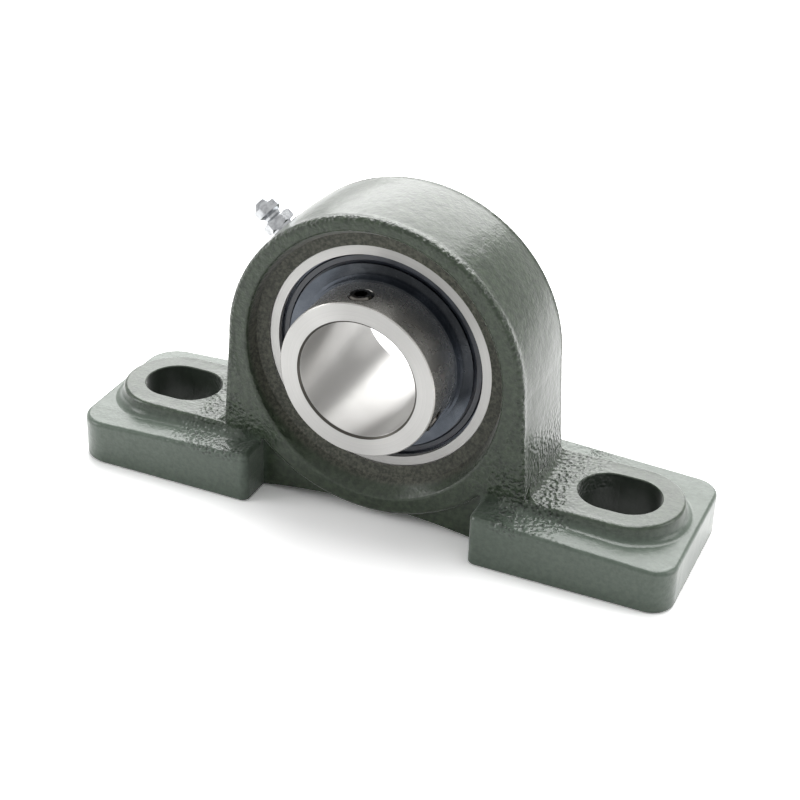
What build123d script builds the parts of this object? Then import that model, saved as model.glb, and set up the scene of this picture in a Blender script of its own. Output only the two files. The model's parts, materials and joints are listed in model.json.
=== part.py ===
from build123d import *
import math
import os

# Two-bolt pillow block: cast housing with a self-aligning, set-screw locked ball bearing insert.
#
# Frame: the origin is midway between the bolt slots, on the plane that the feet stand on.
# +X runs along the base, +Y along the shaft and away from the set screws, and +Z is up.
# All lengths are millimetres and all angles are degrees. Distances "along" are along the shaft,
# from the middle of the insert.

os.makedirs("parts", exist_ok=True)

# ---------------------------------------------------------------- housing casting
shaft_height = 42.9
base_width = 45.0
bolt_spacing = 121.0
slot_length = 20.7
slot_width = 16.2
slot_edge = 0.25
foot_end_wall = 9.65
foot_end_height = 11.5
foot_slope = 2.6
foot_inner_x = 30.0
right_corner_radius = 6.0
left_corner_radius = 8.0
foot_inner_corner_radius = 2.0
foot_top_edge_radius = 1.1
foot_bottom_edge_radius = 0.8
pad_rise = 4.5
pad_wall = 5.6
pad_draft = 14.0
pad_edge_radius = 1.0
pad_foot_radius = 2.0
arch_rim = 5.2
arch_drop = 0.9
arch_crown = 0.6
wall_draft = 4.0
body_width = 28.5
body_edge_radius = 1.5
junction_radius = 3.0
collar_radius = 2.8
boss_step = 2.2
boss_edge_radius = 1.2
web_width = 26.0
web_arch_height = 3.2
web_arch_radius = 172.0

# ---------------------------------------------------------------- seat in the housing
recess_floor_width = 1.8
recess_floor_sink = 0.9
recess_side_flare = 0.9
recess_top_flare = 2.1
recess_bottom_flare = 3.9
recess_edge_radius = 0.8
seat_land_margin = 0.3
seat_groove_width = 2.6
seat_groove_depth = 0.9

# ---------------------------------------------------------------- insert bearing
shaft_diameter = 30.0
ring_diameter = 62.0
outer_ring_width = 19.0
ring_edge_chamfer = 0.3
outer_shoulder_rise = 2.7
inner_shoulder_drop = 2.85
inner_ring_length = 38.1
inner_ring_rear = 15.9
bore_chamfer = 0.6
inner_ring_chamfer = 0.3
ball_diameter = 9.525
ball_count = 9
groove_conformity = 0.52
lubrication_offset = 5.0
lubrication_hole_diameter = 2.0
lubrication_hole_count = 2

# ---------------------------------------------------------------- cage
cage_band = 3.6
cage_sheet = 0.8
rivet_diameter = 1.5
rivet_head_diameter = 2.6
rivet_head_height = 0.6
rivet_head_rounding = 0.35

# ---------------------------------------------------------------- seals and slingers
seal_mouth_step = 1.3
seal_groove_depth = 0.5
seal_case_sheet = 0.7
seal_case_depth = 2.9
seal_case_bore_gap = 2.25
seal_rim_width = 1.6
lip_rim_gap = 0.5
lip_bead_width = 1.5
lip_bead_height = 0.6
lip_bead_slope = 0.3
lip_membrane = 0.2
lip_taper = 1.5
lip_tip_width = 0.35
slinger_sheet = 0.6
slinger_rise = 0.35
slinger_flat_width = 1.35
slinger_collar_height = 2.1

# ---------------------------------------------------------------- set screws
screw_diameter = 6.0
screw_from_end = 5.0
screw_angles = (94.0, -26.0)
screw_tip_gap = 0.2
screw_rise = 0.35
screw_hex = 3.0
screw_hex_depth = 2.6
screw_cup_diameter = 3.0
screw_cup_depth = 0.8
screw_tip_diameter = 4.0
screw_top_chamfer = 0.4
screw_hole_countersink = 0.35

# ---------------------------------------------------------------- grease nipple
nipple_angle = 138.0
nipple_offset = 3.2
nipple_thread_diameter = 6.0
nipple_thread_length = 5.5
nipple_thread_chamfer = 0.4
nipple_tapping_extra = 0.5
nipple_spotface_diameter = 9.6
nipple_spotface_depth = 0.4
nipple_hex = 7.0
nipple_hex_gap = 0.8
nipple_hex_height = 2.5
nipple_hex_bevel = 0.4
nipple_neck_diameter = 4.8
nipple_head_diameter = 6.5
nipple_head_height = 2.0
nipple_height = 8.8
nipple_tip_diameter = 3.4
nipple_chamber_diameter = 2.4
nipple_mouth_diameter = 1.5
nipple_mouth_depth = 0.7
nipple_duct_diameter = 1.0
nipple_spring_seat = 2.4
check_ball_diameter = 2.0
spring_wire_diameter = 0.25
spring_turns = 6
spring_coil_diameter = 1.4
grease_passage_diameter = 3.0

# ---------------------------------------------------------------- clearances
seat_clearance = 0.05
loading_clearance = 0.35
ball_clearance = 0.03
pocket_clearance = 0.12
thread_clearance = 0.05
lip_clearance = 0.06
seal_fit_clearance = 0.03
slinger_gap = 0.3
check_ball_clearance = 0.02

# ---------------------------------------------------------------- sizes that follow
half_width = base_width / 2
half_body = body_width / 2
half_ring = outer_ring_width / 2
half_length = (bolt_spacing + slot_length) / 2 + foot_end_wall
ring_radius = ring_diameter / 2
bore_radius = shaft_diameter / 2
pitch_radius = (ring_radius + bore_radius) / 2
ball_radius = ball_diameter / 2
groove_radius = groove_conformity * ball_diameter
seat_radius = ring_radius + seat_clearance
recess_floor_radius = ring_radius + recess_floor_width
recess_floor = half_ring + recess_floor_sink
mouth_half_width = recess_floor_radius + recess_side_flare
mouth_half_height = recess_floor_radius + (recess_top_flare + recess_bottom_flare) / 2
mouth_drop = (recess_bottom_flare - recess_top_flare) / 2
arch_radius = mouth_half_width + arch_rim
arch_centre = shaft_height - arch_drop
boss_radius = arch_radius + boss_step
pad_height = foot_end_height + pad_rise
pad_radius = slot_width / 2 + pad_wall
slot_straight = slot_length - slot_width

inner_ring_radius = pitch_radius - inner_shoulder_drop
inner_ring_front = inner_ring_length - inner_ring_rear
outer_shoulder_radius = pitch_radius + outer_shoulder_rise
seal_mouth_radius = outer_shoulder_radius + seal_mouth_step
seal_groove_radius = seal_mouth_radius + seal_groove_depth
cage_inner_radius = pitch_radius - cage_band / 2
cage_outer_radius = pitch_radius + cage_band / 2
seal_step = half_ring - seal_case_depth
seal_face = seal_step + seal_fit_clearance + seal_case_sheet
seal_case_bore = inner_ring_radius + seal_case_bore_gap
lip_outer_radius = seal_mouth_radius - lip_rim_gap
bead_root_radius = lip_outer_radius - lip_bead_width - lip_bead_slope

screw_along = screw_from_end - inner_ring_front
screw_length = inner_ring_radius - bore_radius - screw_tip_gap + screw_rise
drop_at_nipple = arch_drop * math.sin(math.radians(nipple_angle))
chamber_top = nipple_height - nipple_mouth_depth
check_ball_radius = check_ball_diameter / 2

seat_centre = Vector(0, 0, shaft_height)
shaft_axis = Axis(seat_centre, (0, 1, 0))
from_below = (Align.CENTER, Align.CENTER, Align.MIN)
from_above = (Align.CENTER, Align.CENTER, Align.MAX)

# A cutter or a joining piece goes this far into its neighbour, or this far past the surface.
overlap = 1.0
beyond = 2.0
tolerance = 0.01
crown_steps = 3


def foot_height(x):
    """Height of the sloped top of a foot at the distance x from the middle."""
    return foot_end_height + (half_length - abs(x)) * math.tan(math.radians(foot_slope))


def crown(along):
    """How far the arch stands out over its faces, at a distance from its middle plane."""
    return arch_crown * (1 - (along / half_body) ** 2)


def wall_half_width(z):
    """Half width of the arch's side walls at its faces, at a height z below its centre."""
    return arch_radius + (arch_centre - z) * math.tan(math.radians(wall_draft))


def turned(*edges):
    """Solid turned about the shaft from a closed outline of edges in (radius, along) places."""
    return revolve(Pos(0, 0, shaft_height) * make_face(edges), shaft_axis)


def turned_points(points):
    """Solid turned about the shaft from a closed outline of (radius, along) corners."""
    return turned(Polyline(*points, close=True))


def bar(x_size, y_size, z_from, z_to, x=0.0, y=0.0):
    """Box on the given centre between two heights."""
    return Pos(x, y, (z_from + z_to) / 2) * Box(x_size, y_size, z_to - z_from)


def along_shaft(radius, y_from, y_to, z=shaft_height, x=0.0):
    """Cylinder parallel to the shaft between two places along it."""
    turn = Plane(origin=(x, y_from, z), x_dir=(1, 0, 0), z_dir=(0, 1, 0))
    return turn * Cylinder(radius, y_to - y_from, align=from_below)


def radial_plane(angle, radius, along):
    """Plane that faces out from the shaft, at an angle above +X and a distance along the shaft."""
    out = Vector(math.cos(math.radians(angle)), 0, math.sin(math.radians(angle)))
    return Plane(origin=seat_centre + out * radius + Vector(0, along, 0), x_dir=(0, 1, 0), z_dir=out)


def across(along):
    """Plane across the shaft, with its x along the base and its y upwards."""
    return Plane(origin=(0, along, 0), x_dir=(1, 0, 0), z_dir=(0, -1, 0))


def prism(outline, width):
    """Extrusion of an (x, z) outline, centred on the plane of the shaft centre."""
    return extrude(Plane.XZ * outline, width / 2, both=True)


# ================================================================ housing
def foot(side):
    """One foot: a solid block with a sloped top and rounded corners and edges."""
    outline = Polyline(
        (side * foot_inner_x, 0),
        (side * half_length, 0),
        (side * half_length, foot_end_height),
        (side * foot_inner_x, foot_height(foot_inner_x)),
        close=True,
    )
    block = prism(make_face(outline), base_width)
    outer = [e for e in block.edges().filter_by(Axis.Z) if abs(e.center().X) > half_length - overlap]
    block = fillet(outer, right_corner_radius if side > 0 else left_corner_radius)
    inner = [e for e in block.edges().filter_by(Axis.Z) if abs(e.center().X) < foot_inner_x + overlap]
    block = fillet(inner, foot_inner_corner_radius)
    block = fillet(block.faces().sort_by(Axis.Z)[0].edges(), foot_bottom_edge_radius)
    return fillet(block.faces().sort_by(Axis.Z)[-1].edges(), foot_top_edge_radius)


def pad(side):
    """Raised, drafted pad round a bolt slot, which runs in under the arch."""
    low = foot_end_height - beyond
    spread = (pad_height - low) * math.tan(math.radians(pad_draft))
    inner_end = arch_radius - body_edge_radius - overlap
    outer_centre = (bolt_spacing + slot_straight) / 2
    radius = pad_radius + spread
    length = outer_centre - inner_end
    outline = Pos(side * outer_centre, 0, low) * Circle(radius)
    outline += Pos(side * (outer_centre - length / 2), 0, low) * Rectangle(length, 2 * radius)
    return extrude(outline, pad_height - low, taper=pad_draft)


def on_pad_root(edge):
    """Whether an edge lies on the line where a pad's wall meets the foot's sloped top."""
    place = edge.center()
    on_slope = abs(place.Z - foot_height(place.X)) < tolerance
    return on_slope and abs(place.X) > arch_radius and abs(place.Y) < pad_radius + beyond


def foot_with_pad(side):
    """Foot and pad as one, with the pad's rim rounded and its root filleted."""
    solid = foot(side) + pad(side)
    rim = [e for e in solid.faces().sort_by(Axis.Z)[-1].edges() if abs(e.center().X) > arch_radius]
    solid = fillet(rim, pad_edge_radius)
    return fillet([e for e in solid.edges() if on_pad_root(e)], pad_foot_radius)


def hollow_fillet(radius):
    """Face of a hollow fillet in a corner: walls along -x and -y of it, sunk a little into both."""
    middle = radius * (1 - math.sqrt(0.5))
    return make_face([
        Polyline((radius, 0), (radius, -overlap), (-overlap, -overlap), (-overlap, radius), (0, radius)),
        ThreePointArc((0, radius), (middle, middle), (radius, 0)),
    ])


def wall_foot(reach):
    """Points along the foot of the arch's +X wall, out from its faces, from -reach to reach."""
    steps = [reach * k / crown_steps for k in range(-crown_steps, crown_steps + 1)]
    return [(crown(along), along) for along in steps]


def collar():
    """Hollow fillet round the foot of the arch on the +X side, on the sloped top of the foot."""
    slope = math.radians(foot_slope)
    wall = wall_half_width(foot_height(arch_radius))
    out = Vector(math.cos(slope), 0, -math.sin(slope))
    up = Vector(math.sin(slope), 0, math.cos(slope))
    end = foot_inner_x + foot_inner_corner_radius + collar_radius - wall
    front = [(end, beyond - half_body), (end, -half_body)]
    rear = [(end, half_body), (end, half_body - beyond)]
    path = Plane(origin=(wall, 0, foot_height(wall)), x_dir=out, z_dir=up)
    path = path * FilletPolyline(*front, *wall_foot(half_body), *rear, radius=body_edge_radius)
    section = Plane(origin=path @ 0, x_dir=-out, z_dir=(0, 1, 0))
    return sweep(section * hollow_fillet(collar_radius), path=path)


def ramp():
    """Hollow fillet between the flat top of a pad and the +X side wall, with chamfered ends."""
    reach = pad_radius - pad_edge_radius
    points = wall_foot(reach)
    path = Plane(origin=(wall_half_width(pad_height), 0, pad_height))
    path = path * FilletPolyline(*points, radius=junction_radius)
    along = path % 0
    section = Plane(origin=path @ 0, x_dir=along.cross(Vector(0, 0, 1)), z_dir=-along)
    solid = sweep(section * hollow_fillet(junction_radius), path=path)
    low = pad_height - overlap
    outline = Pos(arch_radius, 0, low) * Rectangle(pad_radius, 2 * (reach + overlap))
    return solid & extrude(outline, junction_radius + overlap, taper=45)


def arch_outline(along):
    """Outline of the arch at a place along the shaft: half a disc on two drafted side walls."""
    radius = arch_radius + crown(along)
    low = foot_height(arch_radius) - beyond
    spread = wall_half_width(low) + crown(along)
    left = (-radius, arch_centre)
    right = (radius, arch_centre)
    return across(along) * make_face([
        ThreePointArc(left, (0, arch_centre + radius), right),
        Polyline(right, (spread, low), (-spread, low), left),
    ])


def arch():
    """Arch over the insert, crowned from face to face, with rounded rims."""
    solid = loft([arch_outline(along) for along in (-half_body, 0, half_body)])
    in_faces = [e for e in solid.edges() if abs(abs(e.center().Y) - half_body) < tolerance]
    low = foot_height(arch_radius) - beyond
    solid = fillet([e for e in in_faces if e.center().Z > low + tolerance], body_edge_radius)
    under = shaft_height - math.sqrt(boss_radius**2 - foot_inner_x**2)
    return solid - bar(2 * foot_inner_x, base_width, 0, under)


def boss():
    """Full round ring boss below the arch, between the feet."""
    disc = along_shaft(boss_radius, -half_body, half_body)
    disc = fillet(disc.edges().filter_by(GeomType.CIRCLE), boss_edge_radius)
    return disc & bar(2 * foot_inner_x, base_width, 0, shaft_height)


def web():
    """Web between the feet, set back from the boss, with an arched underside."""
    block = bar(2 * foot_inner_x + 2 * overlap, web_width, 0, shaft_height / 2)
    hollow = along_shaft(web_arch_radius, -half_width, half_width, z=web_arch_height - web_arch_radius)
    return block - hollow


def recess_section(along):
    """Opening of a recess at a distance along the shaft: round at its floor, oval at its mouth."""
    part = (along - recess_floor) / (half_body - recess_floor)
    wide = recess_floor_radius + part * (mouth_half_width - recess_floor_radius)
    high = recess_floor_radius + part * (mouth_half_height - recess_floor_radius)
    return across(-along) * Pos(0, shaft_height - part * mouth_drop) * Ellipse(wide, high)


def seat_void():
    """Everything that is open round the insert: two recesses and the spherical seat between."""
    land = half_ring + seat_land_margin
    land_radius = math.sqrt(seat_radius**2 - land**2)
    seat = turned(
        Polyline((0, -recess_floor), (recess_floor_radius, -recess_floor), (land_radius, -land)),
        ThreePointArc((land_radius, -land), (seat_radius, 0), (land_radius, land)),
        Polyline((land_radius, land), (recess_floor_radius, recess_floor), (0, recess_floor)),
        Line((0, recess_floor), (0, -recess_floor)),
    )
    recess = loft([recess_section(recess_floor), recess_section(half_body + beyond)], ruled=True)
    return seat + recess + mirror(recess, about=Plane.XZ)


def bolt_slot(side):
    """Slot for a foundation bolt, with its long way along the base and a broken upper edge."""
    shape = SlotOverall(slot_length, slot_width)
    slot = extrude(Pos(side * bolt_spacing / 2, 0, -beyond) * shape, pad_height + 2 * beyond)
    rim = Pos(side * bolt_spacing / 2, 0, pad_height - slot_edge) * shape
    return slot + extrude(rim, slot_edge + overlap, taper=-45)


def loading_slots():
    """Pair of slots in the rear of the seat, through which the insert goes in edge-on."""
    reach = ring_radius + loading_clearance
    height = outer_ring_width + 2 * loading_clearance
    disc = along_shaft(reach, 0, half_body + beyond)
    return disc & bar(3 * reach, base_width, shaft_height - height / 2, shaft_height + height / 2)


def seat_groove():
    """Ring groove in the seat that leads grease round to the holes of the outer ring."""
    outer = seat_radius + seat_groove_depth
    half = seat_groove_width / 2
    return along_shaft(outer, -lubrication_offset - half, -lubrication_offset + half)


def spotface_radius():
    """Distance of the nipple's spotface from the shaft centre, just below the arch's surface."""
    return arch_radius + crown(nipple_offset) - drop_at_nipple - nipple_spotface_depth


def nipple_seat():
    """Plane of the nipple's spotface, facing out from the shaft centre."""
    return radial_plane(nipple_angle, spotface_radius(), -nipple_offset)


def nipple_hole():
    """Spotface, tapped hole and grease passage for the nipple, which point at the shaft centre."""
    seat = nipple_seat()
    depth = nipple_thread_length + nipple_tapping_extra
    spotface = seat * Cylinder(nipple_spotface_diameter / 2, nipple_height, align=from_below)
    tapping = seat * Cylinder(nipple_thread_diameter / 2, depth, align=from_above)
    reach = spotface_radius() - ring_radius
    passage = seat * Cylinder(grease_passage_diameter / 2, reach, align=from_above)
    return spotface + tapping + passage


def is_mouth(edge):
    """Whether an edge is the mouth of the front or rear recess."""
    box = edge.bounding_box()
    in_face = box.size.Y < tolerance and abs(abs(box.center().Y) - half_body) < tolerance
    return in_face and abs(box.size.X - 2 * mouth_half_width) < tolerance


def housing():
    """The whole casting with its machined and cored openings."""
    fillets = collar() + ramp()
    casting = arch() + boss() + web() + fillets + mirror(fillets, about=Plane.YZ)
    for side in (1, -1):
        casting += foot_with_pad(side)
    casting -= seat_void()
    casting = fillet([e for e in casting.edges() if is_mouth(e)], recess_edge_radius)
    for side in (1, -1):
        casting -= bolt_slot(side)
    return casting - seat_groove() - loading_slots() - nipple_hole()


# ================================================================ rings
def groove_edge(groove_centre, shoulder):
    """Distance along the shaft at which a ball groove runs out into its shoulder."""
    return math.sqrt(groove_radius**2 - (shoulder - groove_centre) ** 2)


def outer_ring():
    """Outer ring: spherical outside, ball groove, and a stepped seat for a seal on each side."""
    edge_along = half_ring - ring_edge_chamfer
    edge_radius = math.sqrt(ring_radius**2 - edge_along**2)
    groove_bottom = pitch_radius + ball_radius + ball_clearance
    race_edge = groove_edge(groove_bottom - groove_radius, outer_shoulder_radius)
    side = [
        (edge_radius, edge_along),
        (edge_radius - ring_edge_chamfer, half_ring),
        (seal_mouth_radius, half_ring),
        (seal_mouth_radius, seal_step + seal_rim_width),
        (seal_groove_radius, seal_step + seal_rim_width),
        (seal_groove_radius, seal_step),
        (outer_shoulder_radius, seal_step),
        (outer_shoulder_radius, race_edge),
    ]
    other = [(radius, -along) for radius, along in reversed(side)]
    ring = turned(
        ThreePointArc(other[-1], (ring_radius, 0), side[0]),
        Polyline(*side),
        ThreePointArc(side[-1], (groove_bottom, 0), other[0]),
        Polyline(*other),
    )
    for k in range(lubrication_hole_count):
        angle = nipple_angle + k * 360 / lubrication_hole_count
        place = radial_plane(angle, ring_radius + beyond, -lubrication_offset)
        length = ring_radius + beyond - outer_shoulder_radius + overlap
        ring -= place * Cylinder(lubrication_hole_diameter / 2, length, align=from_above)
    return ring


def inner_ring():
    """Inner ring: plain bore, ball groove, and two tapped holes in its long front end."""
    groove_bottom = pitch_radius - ball_radius - ball_clearance
    race_edge = groove_edge(groove_bottom + groove_radius, inner_ring_radius)
    body = turned(
        Polyline(
            (inner_ring_radius, race_edge),
            (inner_ring_radius, inner_ring_rear - inner_ring_chamfer),
            (inner_ring_radius - inner_ring_chamfer, inner_ring_rear),
            (bore_radius + bore_chamfer, inner_ring_rear),
            (bore_radius, inner_ring_rear - bore_chamfer),
            (bore_radius, -inner_ring_front + bore_chamfer),
            (bore_radius + bore_chamfer, -inner_ring_front),
            (inner_ring_radius - inner_ring_chamfer, -inner_ring_front),
            (inner_ring_radius, -inner_ring_front + inner_ring_chamfer),
            (inner_ring_radius, -race_edge),
        ),
        ThreePointArc((inner_ring_radius, -race_edge), (groove_bottom, 0), (inner_ring_radius, race_edge)),
    )
    for angle in screw_angles:
        place = radial_plane(angle, inner_ring_radius, screw_along)
        hole = Cylinder(screw_diameter / 2, 2 * (inner_ring_radius - bore_radius + overlap))
        mouth_radius = screw_diameter / 2 + screw_hole_countersink
        mouth = Cone(screw_diameter / 2, mouth_radius + overlap, screw_hole_countersink + overlap)
        mouth = Pos(0, 0, (overlap - screw_hole_countersink) / 2) * mouth
        body -= place * (hole + mouth)
    return body


# ================================================================ balls and cage
def ball_centre(k):
    """Centre of one ball on the pitch circle."""
    angle = math.radians(90 + k * 360 / ball_count)
    return seat_centre + Vector(math.cos(angle), 0, math.sin(angle)) * pitch_radius


def ball(k):
    """One steel ball."""
    return Pos(ball_centre(k)) * Sphere(ball_radius)


def rivet_at(k, radius, length):
    """Round bar along the shaft, midway between two balls and centred on the cage's parting plane."""
    angle = 90 + (k + 0.5) * 360 / ball_count
    place = radial_plane(angle, (cage_inner_radius + cage_outer_radius) / 2, 0).origin
    return along_shaft(radius, -length / 2, length / 2, z=place.Z, x=place.X)


def cage_rear():
    """Rear half of the ribbon cage: flat lands riveted to the other half, and a cup over each ball."""
    pocket = ball_radius + pocket_clearance
    reach = pocket + cage_sheet + overlap
    ribbon = along_shaft(cage_outer_radius, 0, cage_sheet)
    band = along_shaft(cage_outer_radius, 0, reach) - along_shaft(cage_inner_radius, 0, reach)
    for k in range(ball_count):
        ribbon += (Pos(ball_centre(k)) * Sphere(pocket + cage_sheet)) & band
    ribbon -= along_shaft(cage_inner_radius, 0, reach)
    for k in range(ball_count):
        ribbon -= Pos(ball_centre(k)) * Sphere(pocket)
        ribbon -= rivet_at(k, rivet_diameter / 2, reach)
    return ribbon


def cage_front():
    """Front half of the ribbon cage, the mirror image of the rear half."""
    return mirror(cage_rear(), about=Plane.XZ)


def cage_rivets():
    """All the cage rivets, each with a rounded head on both sides."""
    rivets = []
    for k in range(ball_count):
        heads = rivet_at(k, rivet_head_diameter / 2, 2 * (cage_sheet + rivet_head_height))
        heads = fillet(heads.edges().filter_by(GeomType.CIRCLE), rivet_head_rounding)
        heads -= rivet_at(k, rivet_head_diameter, 2 * cage_sheet)
        rivets.append((heads + rivet_at(k, rivet_diameter / 2, 2 * cage_sheet)).solid())
    return Compound(rivets)


# ================================================================ seals and slingers
def seal_case(side):
    """Pressed-steel seal case: a rim in the outer ring's groove and a flat annular plate."""
    step = seal_step + seal_fit_clearance
    rim_top = step + seal_rim_width - 2 * seal_fit_clearance
    rim_radius = seal_groove_radius - seal_fit_clearance
    points = [
        (rim_radius, step),
        (rim_radius, rim_top),
        (rim_radius - seal_case_sheet, rim_top),
        (rim_radius - seal_case_sheet, seal_face),
        (seal_case_bore, seal_face),
        (seal_case_bore, step),
    ]
    return turned_points([(radius, side * along) for radius, along in points])


def seal_lip(side):
    """Rubber bonded on the seal case, with a lip that tapers to the inner ring."""
    tip = inner_ring_radius + lip_clearance
    points = [
        (lip_outer_radius, seal_face),
        (lip_outer_radius - lip_bead_slope, seal_face + lip_bead_height),
        (bead_root_radius + lip_bead_slope, seal_face + lip_bead_height),
        (bead_root_radius, seal_face + lip_membrane),
        (tip + lip_taper, seal_face + lip_membrane),
        (tip, seal_face),
        (tip, seal_face - lip_tip_width),
        (seal_case_bore, seal_face - seal_case_sheet),
        (seal_case_bore, seal_face),
    ]
    return turned_points([(radius, side * along) for radius, along in points])


def slinger(side):
    """Dished steel flinger pressed on the inner ring: a conical disc that turns up into a collar."""
    under = seal_face + lip_membrane + slinger_gap
    top = under + slinger_sheet
    outer = bead_root_radius - slinger_gap
    flat = inner_ring_radius + slinger_flat_width
    points = [
        (outer, top + slinger_rise),
        (outer, under + slinger_rise),
        (flat, under),
        (inner_ring_radius, under),
        (inner_ring_radius, under + slinger_collar_height),
        (inner_ring_radius + slinger_sheet, under + slinger_collar_height),
        (inner_ring_radius + slinger_sheet, top),
        (flat, top),
    ]
    return turned_points([(radius, side * along) for radius, along in points])


# ================================================================ set screws
def set_screw(angle):
    """Socket set screw with a cup point, backed off until its point is clear of the bore."""
    tip = bore_radius + screw_tip_gap
    place = radial_plane(angle, tip, screw_along)
    radius = screw_diameter / 2 - thread_clearance
    outline = Polyline(
        (0, screw_cup_depth),
        (screw_cup_diameter / 2, 0),
        (screw_tip_diameter / 2, 0),
        (radius, radius - screw_tip_diameter / 2),
        (radius, screw_length - screw_top_chamfer),
        (radius - screw_top_chamfer, screw_length),
        (0, screw_length),
        close=True,
    )
    body = revolve(Plane.XZ * make_face(outline), Axis.Z)
    hexagon = RegularPolygon(screw_hex / 2, 6, major_radius=False)
    socket = Pos(0, 0, screw_length - screw_hex_depth) * hexagon
    body -= extrude(socket, screw_hex_depth + overlap)
    return place * body


# ================================================================ grease nipple
def nipple_body():
    """Grease nipple: threaded shank, hexagon, neck and ball-shaped head, drilled through."""
    hex_top = nipple_hex_gap + nipple_hex_height
    shank = nipple_thread_diameter / 2 - thread_clearance
    neck = nipple_neck_diameter / 2
    head = nipple_head_diameter / 2
    tip = nipple_tip_diameter / 2
    head_low = nipple_height - nipple_head_height - (head - tip)
    outline = Polyline(
        (0, -nipple_thread_length),
        (shank - nipple_thread_chamfer, -nipple_thread_length),
        (shank, -nipple_thread_length + nipple_thread_chamfer),
        (shank, hex_top),
        (neck, hex_top + (shank - neck)),
        (neck, head_low - (head - neck)),
        (head, head_low),
        (head, head_low + nipple_head_height),
        (tip, nipple_height),
        (0, nipple_height),
        close=True,
    )
    body = revolve(Plane.XZ * make_face(outline), Axis.Z)
    hexagon = Pos(0, 0, nipple_hex_gap) * RegularPolygon(nipple_hex / 2, 6, major_radius=False)
    across_corners = nipple_hex / math.cos(math.radians(30))
    bevel = Pos(0, 0, nipple_hex_gap) * Cylinder(across_corners / 2, nipple_hex_height, align=from_below)
    bevel = chamfer(bevel.edges().filter_by(GeomType.CIRCLE), nipple_hex_bevel)
    body += extrude(hexagon, nipple_hex_height) & bevel
    duct = Cylinder(nipple_duct_diameter / 2, nipple_height, align=from_below)
    chamber = Cylinder(nipple_chamber_diameter / 2, chamber_top - nipple_spring_seat, align=from_below)
    mouth = Cylinder(nipple_mouth_diameter / 2, nipple_height, align=from_below)
    body -= Pos(0, 0, -nipple_thread_length) * duct
    body -= Pos(0, 0, nipple_spring_seat) * chamber
    body -= Pos(0, 0, chamber_top) * mouth
    return nipple_seat() * body


def check_ball_height():
    """Height of the check ball's centre over the spotface, when it closes the nipple's mouth."""
    rise = math.sqrt(check_ball_radius**2 - (nipple_mouth_diameter / 2) ** 2)
    return chamber_top - check_ball_clearance - rise


def nipple_check_ball():
    """Ball that closes the nipple's mouth from inside."""
    return nipple_seat() * Pos(0, 0, check_ball_height()) * Sphere(check_ball_radius)


def nipple_spring():
    """Coil spring between the nipple's inner shoulder and its check ball."""
    coil_radius = spring_coil_diameter / 2
    bottom = nipple_spring_seat + spring_wire_diameter / 2
    contact = math.sqrt(check_ball_radius**2 - coil_radius**2)
    top = check_ball_height() - contact - spring_wire_diameter
    path = Helix(pitch=(top - bottom) / spring_turns, height=top - bottom, radius=coil_radius)
    path = Pos(0, 0, bottom) * path
    section = Plane(origin=path @ 0, z_dir=path % 0) * Circle(spring_wire_diameter / 2)
    return nipple_seat() * sweep(section, path=path, is_frenet=True)


# ================================================================ the assembly
pieces = {
    "housing": housing(),
    "outer_ring": outer_ring(),
    "inner_ring": inner_ring(),
    "cage_front": cage_front(),
    "cage_rear": cage_rear(),
    "cage_rivets": cage_rivets(),
    "seal_case_front": seal_case(-1),
    "seal_case_rear": seal_case(1),
    "seal_lip_front": seal_lip(-1),
    "seal_lip_rear": seal_lip(1),
    "slinger_front": slinger(-1),
    "slinger_rear": slinger(1),
    "nipple_body": nipple_body(),
    "nipple_check_ball": nipple_check_ball(),
    "nipple_spring": nipple_spring(),
}
for number, angle in enumerate(screw_angles, start=1):
    pieces[f"set_screw_{number}"] = set_screw(angle)
for k in range(ball_count):
    pieces[f"ball_{k + 1}"] = ball(k)
for name, piece in pieces.items():
    export_step(piece, f"parts/{name}.step")
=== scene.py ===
import bpy
import json
import math
from mathutils import Matrix, Vector

# Pillow block bearing: a sand-cast housing in dark grey-green enamel, with a ground steel insert
# bearing. +X runs along the base, +Y along the shaft, away from the set screws, and +Z up.
# Lengths are in metres, and in millimetres where a name ends in _mm or _MM.

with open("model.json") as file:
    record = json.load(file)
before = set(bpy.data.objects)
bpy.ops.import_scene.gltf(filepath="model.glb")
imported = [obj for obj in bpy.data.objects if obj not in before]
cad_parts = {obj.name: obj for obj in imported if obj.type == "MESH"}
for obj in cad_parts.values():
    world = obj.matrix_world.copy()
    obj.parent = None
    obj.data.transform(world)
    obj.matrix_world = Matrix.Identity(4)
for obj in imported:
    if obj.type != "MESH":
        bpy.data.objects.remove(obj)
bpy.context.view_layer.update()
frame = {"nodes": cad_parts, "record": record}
nodes = frame["nodes"]

MM = 0.001
shaft_bore = frame["record"]["mounts"][0]
SHAFT_HEIGHT_MM = shaft_bore["pos_m"][2] / MM

# ---------------------------------------------------------------- camera
VIEW_AZIMUTH = 23.186
VIEW_ELEVATION = 29.989
VIEW_ROLL = 1.751
ORIGIN_IN_VIEW = Vector((0.002455, 0.022791, 0.446818))
LENS_PIXELS = 1731.75
IMAGE_PIXELS = 800
SENSOR_WIDTH_MM = 36


def place_camera():
    """Camera that sees the frame's origin at ORIGIN_IN_VIEW: left, up and back from it."""
    data = bpy.data.cameras.new("camera")
    data.sensor_width = SENSOR_WIDTH_MM
    data.lens = LENS_PIXELS / IMAGE_PIXELS * SENSOR_WIDTH_MM
    camera = bpy.data.objects.new("camera", data)
    turn = (Matrix.Rotation(math.radians(VIEW_AZIMUTH), 4, "Z")
        @ Matrix.Rotation(math.radians(90 - VIEW_ELEVATION), 4, "X")
        @ Matrix.Rotation(math.radians(VIEW_ROLL), 4, "Z"))
    camera.matrix_world = turn @ Matrix.Translation(ORIGIN_IN_VIEW)
    bpy.context.scene.collection.objects.link(camera)
    bpy.context.scene.camera = camera


# ---------------------------------------------------------------- colours and nodes
WHITE = "#ffffff"

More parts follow.
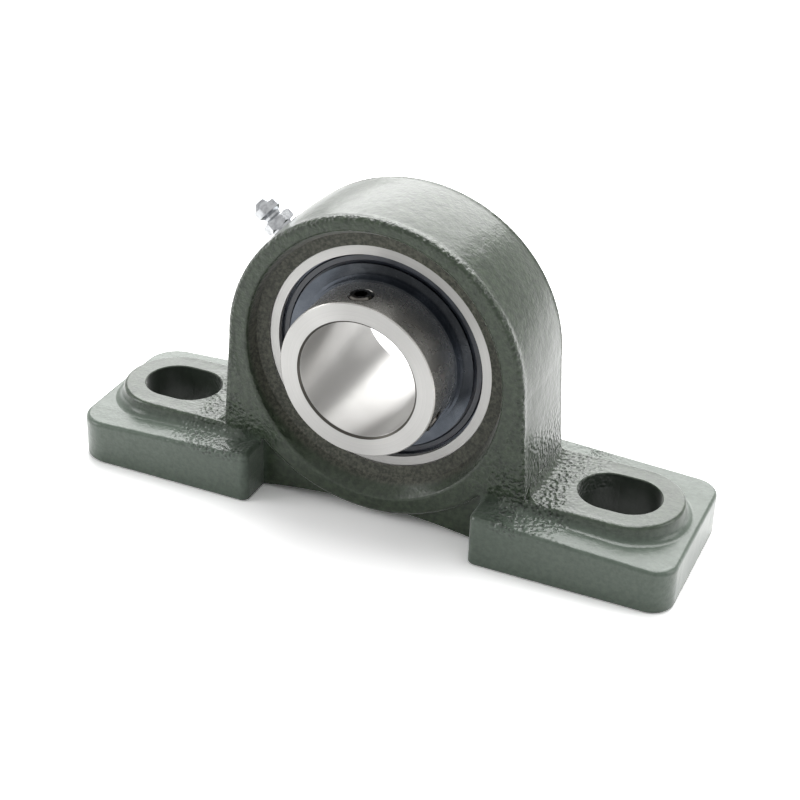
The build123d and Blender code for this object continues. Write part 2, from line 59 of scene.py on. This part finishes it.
# Sockets of a Mix node that mixes colours. Its names stand for other sockets as well.
MIX_SHARE, MIX_UNDER, MIX_OVER, MIX_RESULT = 0, 6, 7, 2


def linear(hex_colour):
    """Linear colour, with alpha, of an sRGB hex colour."""
    parts = [int(hex_colour[i:i + 2], 16) / 255 for i in (1, 3, 5)]
    return [p / 12.92 if p <= 0.04045 else ((p + 0.055) / 1.055) ** 2.4 for p in parts] + [1]


def add(tree, kind, inputs=None, **settings):
    """Adds one node with its settings, and links or sets each input. Returns its outputs."""
    node = tree.nodes.new("ShaderNode" + kind)
    for name, value in settings.items():
        setattr(node, name, value)
    for name, value in (inputs or {}).items():
        if isinstance(value, bpy.types.NodeSocket):
            tree.links.new(value, node.inputs[name])
        else:
            node.inputs[name].default_value = value
    return node.outputs


def new_material(name):
    """Material without nodes, and its tree."""
    material = bpy.data.materials.new(name)
    material.use_nodes = True
    material.node_tree.nodes.clear()
    return material, material.node_tree


def place_in_mm(tree):
    """Object coordinates in millimetres."""
    place = add(tree, "TexCoord")["Object"]
    return add(tree, "VectorMath", {0: place, "Scale": 1 / MM}, operation="SCALE")[0]


def about_shaft(tree, place):
    """A place's x, y and z, its height above the shaft, and its vector and radius from the axis."""
    x, y, z = add(tree, "SeparateXYZ", {0: place})
    above = add(tree, "Math", {0: z, 1: SHAFT_HEIGHT_MM}, operation="SUBTRACT")[0]
    outwards = add(tree, "CombineXYZ", {"X": x, "Z": above})[0]
    radius = add(tree, "VectorMath", {0: outwards}, operation="LENGTH")["Value"]
    return x, y, z, above, outwards, radius


def soft_edges(tree, *edges):
    """Product of soft steps. Each is a value, the two points that it goes between, and the levels
    that the step has there, if they aren't 0 and 1."""
    product = None
    for value, (start, full), *levels in edges:
        low, high = levels[0] if levels else (0, 1)
        step = {"Value": value, "From Min": start, "From Max": full, "To Min": low, "To Max": high}
        step = add(tree, "MapRange", step, interpolation_type="SMOOTHSTEP")["Result"]
        if product is None:
            product = step
        else:
            product = add(tree, "Math", {0: product, 1: step}, operation="MULTIPLY")[0]
    return product


def layered(tree, colour, *layers):
    """Colour with others over it, each of them with the share of the surface that it covers."""
    for share, over in layers:
        under, over = (linear(c) if isinstance(c, str) else c for c in (colour, over))
        mix = {MIX_SHARE: share, MIX_UNDER: under, MIX_OVER: over}
        colour = add(tree, "Mix", mix, data_type="RGBA")[MIX_RESULT]
    return colour


# ---------------------------------------------------------------- housing paint
# The slots, and then where each finish of the casting starts and where it is full. INNER and OUTER
# are distances along the base from its middle, DEPTH is the distance along the shaft from the
# middle of the body, RADIUS is from the shaft's axis, WALL is from a slot's middle line, and
# ABOVE_SHAFT, TOP and BOTTOM are heights.
SLOT_CENTRE_MM, SLOT_STRAIGHT_MM = 60.5, 4.5
# SLOT_WALL_MM and SLOT_TOP_MM set where the painted shade in the slots starts and where it is full.
SLOT_WALL_MM, SLOT_TOP_MM = (8.25, 8.15), (16.0, 15.6)
ROOT_INNER_MM, ROOT_OUTER_MM = (28, 36), (60, 46)
ROOT_TOP_MM, ROOT_BOTTOM_MM = (36, 22), (10.4, 12.4)
RIM_RADIUS_MM, RIM_DEPTH_MM, RIM_ABOVE_SHAFT_MM = (36.6, 37.8), (11.8, 13.4), (-18, -8)
ARCH_BOTTOM_MM, ARCH_DEPTH_MM = (13, 18), (11, 14)
FOOT_INNER_MM, FOOT_TOP_MM = (28, 31), (17, 12)
RECESS_RADIUS_MM, RECESS_DEPTH_MM = (34.6, 33.2), (14.0, 12.4)
SEAT_RADIUS_MM, SEAT_DEPTH_MM = (31.3, 31.15), (9.8, 9.6)
SOLE_TOP_MM = (0.12, 0.04)


def housing_enamel():
    """Satin enamel brushed over sand-cast iron. It looks soft where it fills the sand's grain, and
    it glints on every grain where the casting is crusty: at the foot of the arch and on its rims,
    where painted shade darkens the hollows of the crust.
    It is lighter on the feet, painted shade darkens the slots, and earthy sealing paint covers the
    walls of the recess. The seat and the sole are bare machined iron. The grain is drawn about
    twice as coarse as foundry sand, so that it shows."""
    material, tree = new_material("housing_enamel_on_cast_iron")
    place = place_in_mm(tree)
    x, y, z, above, _, radius = about_shaft(tree, place)
    along_base = add(tree, "Math", {0: x}, operation="ABSOLUTE")[0]
    depth = add(tree, "Math", {0: y}, operation="ABSOLUTE")[0]

    lumps = {}
    for name, size_mm, detail, roughness in (("grain", 0.8, 2, 0.6), ("pits", 1.9, 2, 0.6),
            ("swell", 7.0, 1, 0.5), ("patches", 10.0, 1, 0.5), ("mottle", 1.4, 3, 0.65)):
        noise = {"Vector": place, "Scale": 1 / size_mm, "Detail": detail, "Roughness": roughness}
        lumps[name] = add(tree, "TexNoise", noise)["Fac"]
    crust = add(tree, "TexVoronoi", {"Vector": place, "Scale": 1 / 0.95, "Randomness": 1},
        feature="SMOOTH_F1")["Distance"]

    # The crust is thickest where the arch meets the feet, thinner on the rims, and gone on the
    # feet's sides. The grain is strongest on the faces of the arch.
    root = soft_edges(tree, (along_base, ROOT_INNER_MM), (along_base, ROOT_OUTER_MM),
        (z, ROOT_TOP_MM), (z, ROOT_BOTTOM_MM), (lumps["patches"], (0.35, 0.6), (0.3, 1)))
    rim = soft_edges(tree, (radius, RIM_RADIUS_MM), (depth, RIM_DEPTH_MM),
        (above, RIM_ABOVE_SHAFT_MM, (0, 0.65)))
    crusty = add(tree, "Math", {0: root, 1: rim}, operation="MAXIMUM")[0]
    grainy = soft_edges(tree, (z, ARCH_BOTTOM_MM, (0.3, 1)), (depth, ARCH_DEPTH_MM, (0.5, 1.5)))

    relief = {"Height": lumps["swell"], "Strength": 1, "Distance": 0.16 * MM}
    normal = add(tree, "Bump", relief)["Normal"]
    for height, share, depth_mm in ((lumps["pits"], grainy, 0.2), (lumps["grain"], grainy, 0.1),
            (crust, crusty, 0.6)):
        height = add(tree, "Math", {0: height, 1: share}, operation="MULTIPLY")[0]
        relief = {"Height": height, "Strength": 1, "Distance": depth_mm * MM, "Normal": normal}
        normal = add(tree, "Bump", relief)["Normal"]

    # Distance from a slot's middle line, which is as long as the slot's straight sides.
    past_straight = along_base
    for operation, number in (("SUBTRACT", SLOT_CENTRE_MM), ("ABSOLUTE", 0),
            ("SUBTRACT", SLOT_STRAIGHT_MM / 2), ("MAXIMUM", 0)):
        past_straight = add(tree, "Math", {0: past_straight, 1: number}, operation=operation)[0]
    across_slot = add(tree, "CombineXYZ", {"X": past_straight, "Y": y})[0]
    from_slot = add(tree, "VectorMath", {0: across_slot}, operation="LENGTH")["Value"]

    shade = soft_edges(tree, (lumps["mottle"], (0.3, 0.7)))
    arch_paint = layered(tree, "#1d281a", (shade, "#333f2e"))
    foot_paint = layered(tree, "#465147", (shade, "#515c52"))
    earth = layered(tree, "#262820", (soft_edges(tree, (lumps["grain"], (0.3, 0.75))), "#515247"))
    on_foot = soft_edges(tree, (along_base, FOOT_INNER_MM), (z, FOOT_TOP_MM))
    # Painted shade: the hollows of the crust are darkened towards #161c16, as if shade fell in
    # them.
    hollow_shade = soft_edges(tree, (crust, (0.45, 0.2), (0, 0.7)))
    hollow_shade = add(tree, "Math", {0: hollow_shade, 1: crusty}, operation="MULTIPLY")[0]
    # Painted shade: the walls of the slots are darkened to #2b332b, as the shade inside them.
    slot_shade = soft_edges(tree, (from_slot, SLOT_WALL_MM), (z, SLOT_TOP_MM))
    in_recess = soft_edges(tree, (radius, RECESS_RADIUS_MM), (depth, RECESS_DEPTH_MM))
    seat = soft_edges(tree, (radius, SEAT_RADIUS_MM), (depth, SEAT_DEPTH_MM))
    sole = soft_edges(tree, (z, SOLE_TOP_MM))
    machined = add(tree, "Math", {0: seat, 1: sole}, operation="MAXIMUM")[0]
    colour = layered(tree, arch_paint, (on_foot, foot_paint), (hollow_shade, "#161c16"),
        (slot_shade, "#2b332b"), (in_recess, earth), (machined, "#8d8b86"))
    dull = add(tree, "Math", {0: in_recess, 1: machined}, operation="MAXIMUM")[0]
    rough = add(tree, "Math", {0: dull, 1: 0.35, 2: 0.28}, operation="MULTIPLY_ADD")[0]
    shader = add(tree, "BsdfPrincipled", {"Base Color": colour, "Roughness": rough,
        "Normal": normal, "IOR": 1.45, "Sheen Weight": 0.3, "Sheen Roughness": 0.4})
    add(tree, "OutputMaterial", {"Surface": shader[0]})
    return material


# ---------------------------------------------------------------- bearing steels and seals
# Where the rings' finishes start and where they are full: radii, except for the front face, which
# is a place along the shaft, and the outer chamfer, where the radius and the distance forward of
# the insert's middle have a constant sum.
BORE_MM = (15.3, 15.1)
OUTSIDE_FROM_MM, OUTSIDE_TO_MM = (19.95, 20.05), (20.65, 20.45)
FRONT_FACE_MM, BORE_CHAMFER_MM = (-21.6, -21.7), (15.6, 15.55)
OUTER_CHAMFER_SUM_MM, OUTER_CHAMFER_MM = (42.04, 42.09), (20.3, 20.2)


def ground_steel():
    """Bearing steel ground about the shaft. The grinding lines run round it, so each highlight
    spreads across them. The bore is one even grey, the outside of the inner ring is the smoothest
    and shines most, and a dark hardening scale is left on the chamfers at its front. The lines are
    drawn coarser than the real ones, so that they show."""
    material, tree = new_material("ground_bearing_steel")
    place = place_in_mm(tree)
    _, y, _, _, outwards, radius = about_shaft(tree, place)
    # The factor isn't 1, which would leave no lines on a chamfer that falls as fast as it widens.
    across = add(tree, "Math", {0: y, 1: 0.93, 2: radius}, operation="MULTIPLY_ADD")[0]
    lines = add(tree, "TexNoise", {"W": across, "Scale": 1 / 0.3, "Detail": 2, "Roughness": 0.7},
        noise_dimensions="1D")["Fac"]
    cloud = add(tree, "TexNoise",
        {"Vector": place, "Scale": 1 / 5.0, "Detail": 3, "Roughness": 0.6})["Fac"]

    bore = soft_edges(tree, (radius, BORE_MM))
    outside = soft_edges(tree, (radius, OUTSIDE_FROM_MM), (radius, OUTSIDE_TO_MM))
    bore_chamfer = soft_edges(tree, (y, FRONT_FACE_MM), (radius, BORE_CHAMFER_MM))
    chamfer_sum = add(tree, "Math", {0: radius, 1: y}, operation="SUBTRACT")[0]
    outer_chamfer = soft_edges(tree,
        (chamfer_sum, OUTER_CHAMFER_SUM_MM), (radius, OUTER_CHAMFER_MM))
    scale = add(tree, "Math", {0: bore_chamfer, 1: outer_chamfer}, operation="MAXIMUM")[0]
    colour = layered(tree, "#a8a8a6", (soft_edges(tree, (lines, (0.3, 0.7))), "#b0afad"),
        (bore, "#aeadab"), (outside, "#a3a19d"), (scale, "#4a4844"))
    rough = soft_edges(tree, (outside, (0, 1), (0.38, 0.22)))
    rough = add(tree, "Math", {0: cloud, 1: 0.1, 2: rough}, operation="MULTIPLY_ADD")[0]
    normal = add(tree, "Bump", {"Height": lines, "Strength": 1, "Distance": 0.0008 * MM})["Normal"]
    round_shaft = add(tree, "VectorMath", {0: outwards, 1: (0, 1, 0)}, operation="CROSS_PRODUCT")[0]
    tangent = add(tree, "VectorMath", {0: round_shaft}, operation="NORMALIZE")[0]
    shader = add(tree, "BsdfPrincipled", {"Base Color": colour, "Roughness": rough,
        "Normal": normal, "Tangent": tangent, "Metallic": 1, "Anisotropic": 0.85,
        "Anisotropic Rotation": 0.25})
    add(tree, "OutputMaterial", {"Surface": shader[0]})
    return material


def plain_metal(name, colour, worn_colour, roughness, patch_mm, depth_mm):
    """Metal with a polished, plated, blackened or pressed finish: soft patches patch_mm across, and
    a grain depth_mm deep, which is drawn coarser than the real one so that it shows."""
    material, tree = new_material(name)
    place = place_in_mm(tree)
    patches = add(tree, "TexNoise",
        {"Vector": place, "Scale": 1 / patch_mm, "Detail": 4, "Roughness": 0.6})["Fac"]
    grain = add(tree, "TexNoise",
        {"Vector": place, "Scale": 6 / patch_mm, "Detail": 2, "Roughness": 0.5})["Fac"]
    tone = layered(tree, colour, (soft_edges(tree, (patches, (0.35, 0.7))), worn_colour))
    spread = {0: patches, 1: 0.1, 2: roughness - 0.05}
    rough = add(tree, "Math", spread, operation="MULTIPLY_ADD")[0]
    relief = {"Height": grain, "Strength": 1, "Distance": depth_mm * MM}
    normal = add(tree, "Bump", relief)["Normal"]
    shader = add(tree, "BsdfPrincipled",
        {"Base Color": tone, "Roughness": rough, "Normal": normal, "Metallic": 1})
    add(tree, "OutputMaterial", {"Surface": shader[0]})
    return material


def moulded_rubber():
    """Black nitrile rubber, moulded smooth, with a satin sheen. A faint blue in its colour, lighter
    in soft patches, is a painted sheen. Its grain is drawn coarser than the mould's, so that it
    shows."""
    material, tree = new_material("moulded_nitrile_rubber")
    place = place_in_mm(tree)
    painted_sheen_and_gloss = add(tree, "TexNoise",
        {"Vector": place, "Scale": 1 / 4.0, "Detail": 3, "Roughness": 0.5})["Fac"]
    grain = add(tree, "TexNoise",
        {"Vector": place, "Scale": 1 / 0.5, "Detail": 2, "Roughness": 0.5})["Fac"]
    # Painted sheen: a faint blue tint in the colour, lighter in soft patches, which also vary the
    # gloss.
    tone = layered(tree, "#22262e", (soft_edges(tree, (painted_sheen_and_gloss, (0.35, 0.7))), "#31363f"))
    rough = add(tree, "Math", {0: painted_sheen_and_gloss, 1: 0.15, 2: 0.3}, operation="MULTIPLY_ADD")[0]
    normal = add(tree, "Bump", {"Height": grain, "Strength": 1, "Distance": 0.01 * MM})["Normal"]
    shader = add(tree, "BsdfPrincipled", {"Base Color": tone, "Roughness": rough, "Normal": normal,
        "IOR": 1.52, "Specular IOR Level": 0.6})
    add(tree, "OutputMaterial", {"Surface": shader[0]})
    return material


# ---------------------------------------------------------------- light and floor
def soft_lamp(name, place, aim, size, radiance):
    """White square soft box that faces aim, with the brightness of its face given."""
    data = bpy.data.lights.new(name, "AREA")
    data.size = size
    data.energy = radiance * math.pi * size**2
    lamp = bpy.data.objects.new(name, data)
    facing = (Vector(aim) - Vector(place)).to_track_quat("-Z", "Y")
    lamp.matrix_world = Matrix.Translation(place) @ facing.to_matrix().to_4x4()
    bpy.context.scene.collection.objects.link(lamp)


def rays_seen(tree):
    """1 for what the camera sees straight, and 1 for what it sees reflected or through glass."""
    path = add(tree, "LightPath")
    rays = {0: path["Is Glossy Ray"], 1: path["Is Transmission Ray"]}
    return path["Is Camera Ray"], add(tree, "Math", rays, operation="MAXIMUM")[0]


def white_world():
    """White all round, at a plain level for the light that it casts."""
    world = bpy.data.worlds.new("white_room")
    world.use_nodes = True
    tree = world.node_tree
    tree.nodes.clear()
    straight, reflected = rays_seen(tree)
    seen = add(tree, "Math", {0: straight, 1: reflected}, operation="MAXIMUM")[0]
    strength = soft_edges(tree, (seen, (0, 1), (0.5, 1)))
    light = add(tree, "Background", {"Strength": strength, "Color": linear(WHITE)})
    add(tree, "OutputWorld", {"Surface": light[0]})
    bpy.context.scene.world = world


def pale_floor():
    """White floor, seen a little brighter than it shines on the object, so that it looks white,
    straight and in the metal, and still keeps its shadows. Far off it goes over to plain white."""
    bpy.ops.mesh.primitive_plane_add(size=8)
    floor = bpy.context.object
    floor.name = "floor"
    material, tree = new_material("white_floor")
    straight, reflected = rays_seen(tree)
    seen = add(tree, "Math", {0: straight, 1: reflected}, operation="MAXIMUM")[0]
    level = add(tree, "Math", {0: soft_edges(tree, (straight, (0, 1), (0.9, 1.4))),
        1: soft_edges(tree, (reflected, (0, 1), (0.9, 1.15)))}, operation="MAXIMUM")[0]
    matt = add(tree, "BsdfDiffuse", {"Color": level})[0]
    glow = add(tree, "Emission", {"Color": linear(WHITE), "Strength": 1})[0]
    place = add(tree, "TexCoord")["Object"]
    reach = add(tree, "VectorMath", {0: place}, operation="LENGTH")["Value"]
    far_off = soft_edges(tree, (reach, (0.25, 0.8)))
    share = add(tree, "Math", {0: far_off, 1: seen}, operation="MULTIPLY")[0]
    mix = add(tree, "MixShader", {0: share, 1: matt, 2: glow})[0]
    add(tree, "OutputMaterial", {"Surface": mix})
    floor.data.materials.append(material)


# ---------------------------------------------------------------- the scene
def dress(material, *names):
    """Gives CAD nodes their finished material."""
    for name in names:
        node = nodes[name]
        node.data.materials.clear()
        node.data.materials.append(material)


place_camera()
white_world()
pale_floor()
soft_lamp("back_box", place=(-0.22, 0.85, 0.76), aim=(0, 0, 0.03), size=1.2, radiance=4.7)
soft_lamp("high_box", place=(0.05, 0.25, 0.95), aim=(0, 0, 0.03), size=0.5, radiance=6.0)
soft_lamp("right_box", place=(0.85, 0.20, 0.42), aim=(0, 0, 0.05), size=0.5, radiance=3.2)
soft_lamp("left_box", place=(-0.75, -0.40, 0.32), aim=(0, 0, 0.02), size=0.4, radiance=5.0)

dress(housing_enamel(), "housing")
dress(ground_steel(), "outer_ring", "inner_ring")
dress(moulded_rubber(), "seal_lip_front", "seal_lip_rear")

# Hardened and lapped: it shines like a mirror.
ball_steel = plain_metal("polished_ball_steel", "#dcdcdc", "#cfd0d2", 0.08, 3.0, 0.001)
dress(ball_steel, *[name for name in nodes if name.startswith("ball_")], "nipple_check_ball")

# Soft strip steel, pressed bright: satin, with greyer patches where the tool rubbed.
cage_steel = plain_metal("pressed_cage_steel", "#a5a39e", "#8e8c87", 0.35, 2.0, 0.01)
dress(cage_steel, "cage_front", "cage_rear", "cage_rivets")

# Phosphate coat on pressed steel: bluish charcoal, smooth, with a soft oily shine.
case_steel = plain_metal("phosphated_seal_case", "#42454b", "#505359", 0.3, 6.0, 0.004)
dress(case_steel, "seal_case_front", "seal_case_rear")
slinger_steel = plain_metal("phosphated_slinger", "#464a50", "#55595f", 0.26, 6.0, 0.004)
dress(slinger_steel, "slinger_front", "slinger_rear")

# Black oxide on hard steel: a warm dark brown that still reflects like oiled metal.
screw_steel = plain_metal("black_oxide_screw", "#55524f", "#6a6762", 0.18, 1.5, 0.01)
dress(screw_steel, "set_screw_1", "set_screw_2")

# Zinc plate over turned steel: bright, a little blue, and cloudy.
nipple_zinc = plain_metal("bright_zinc_nipple", "#b2b4b6", "#8e9093", 0.2, 1.5, 0.01)
dress(nipple_zinc, "nipple_body")

# Wire drawn bright, with faint dull patches.
spring_wire = plain_metal("drawn_spring_wire", "#b5b5b5", "#9c9c9c", 0.25, 0.5, 0.002)
dress(spring_wire, "nipple_spring")

bpy.context.scene.view_settings.view_transform = "Standard"
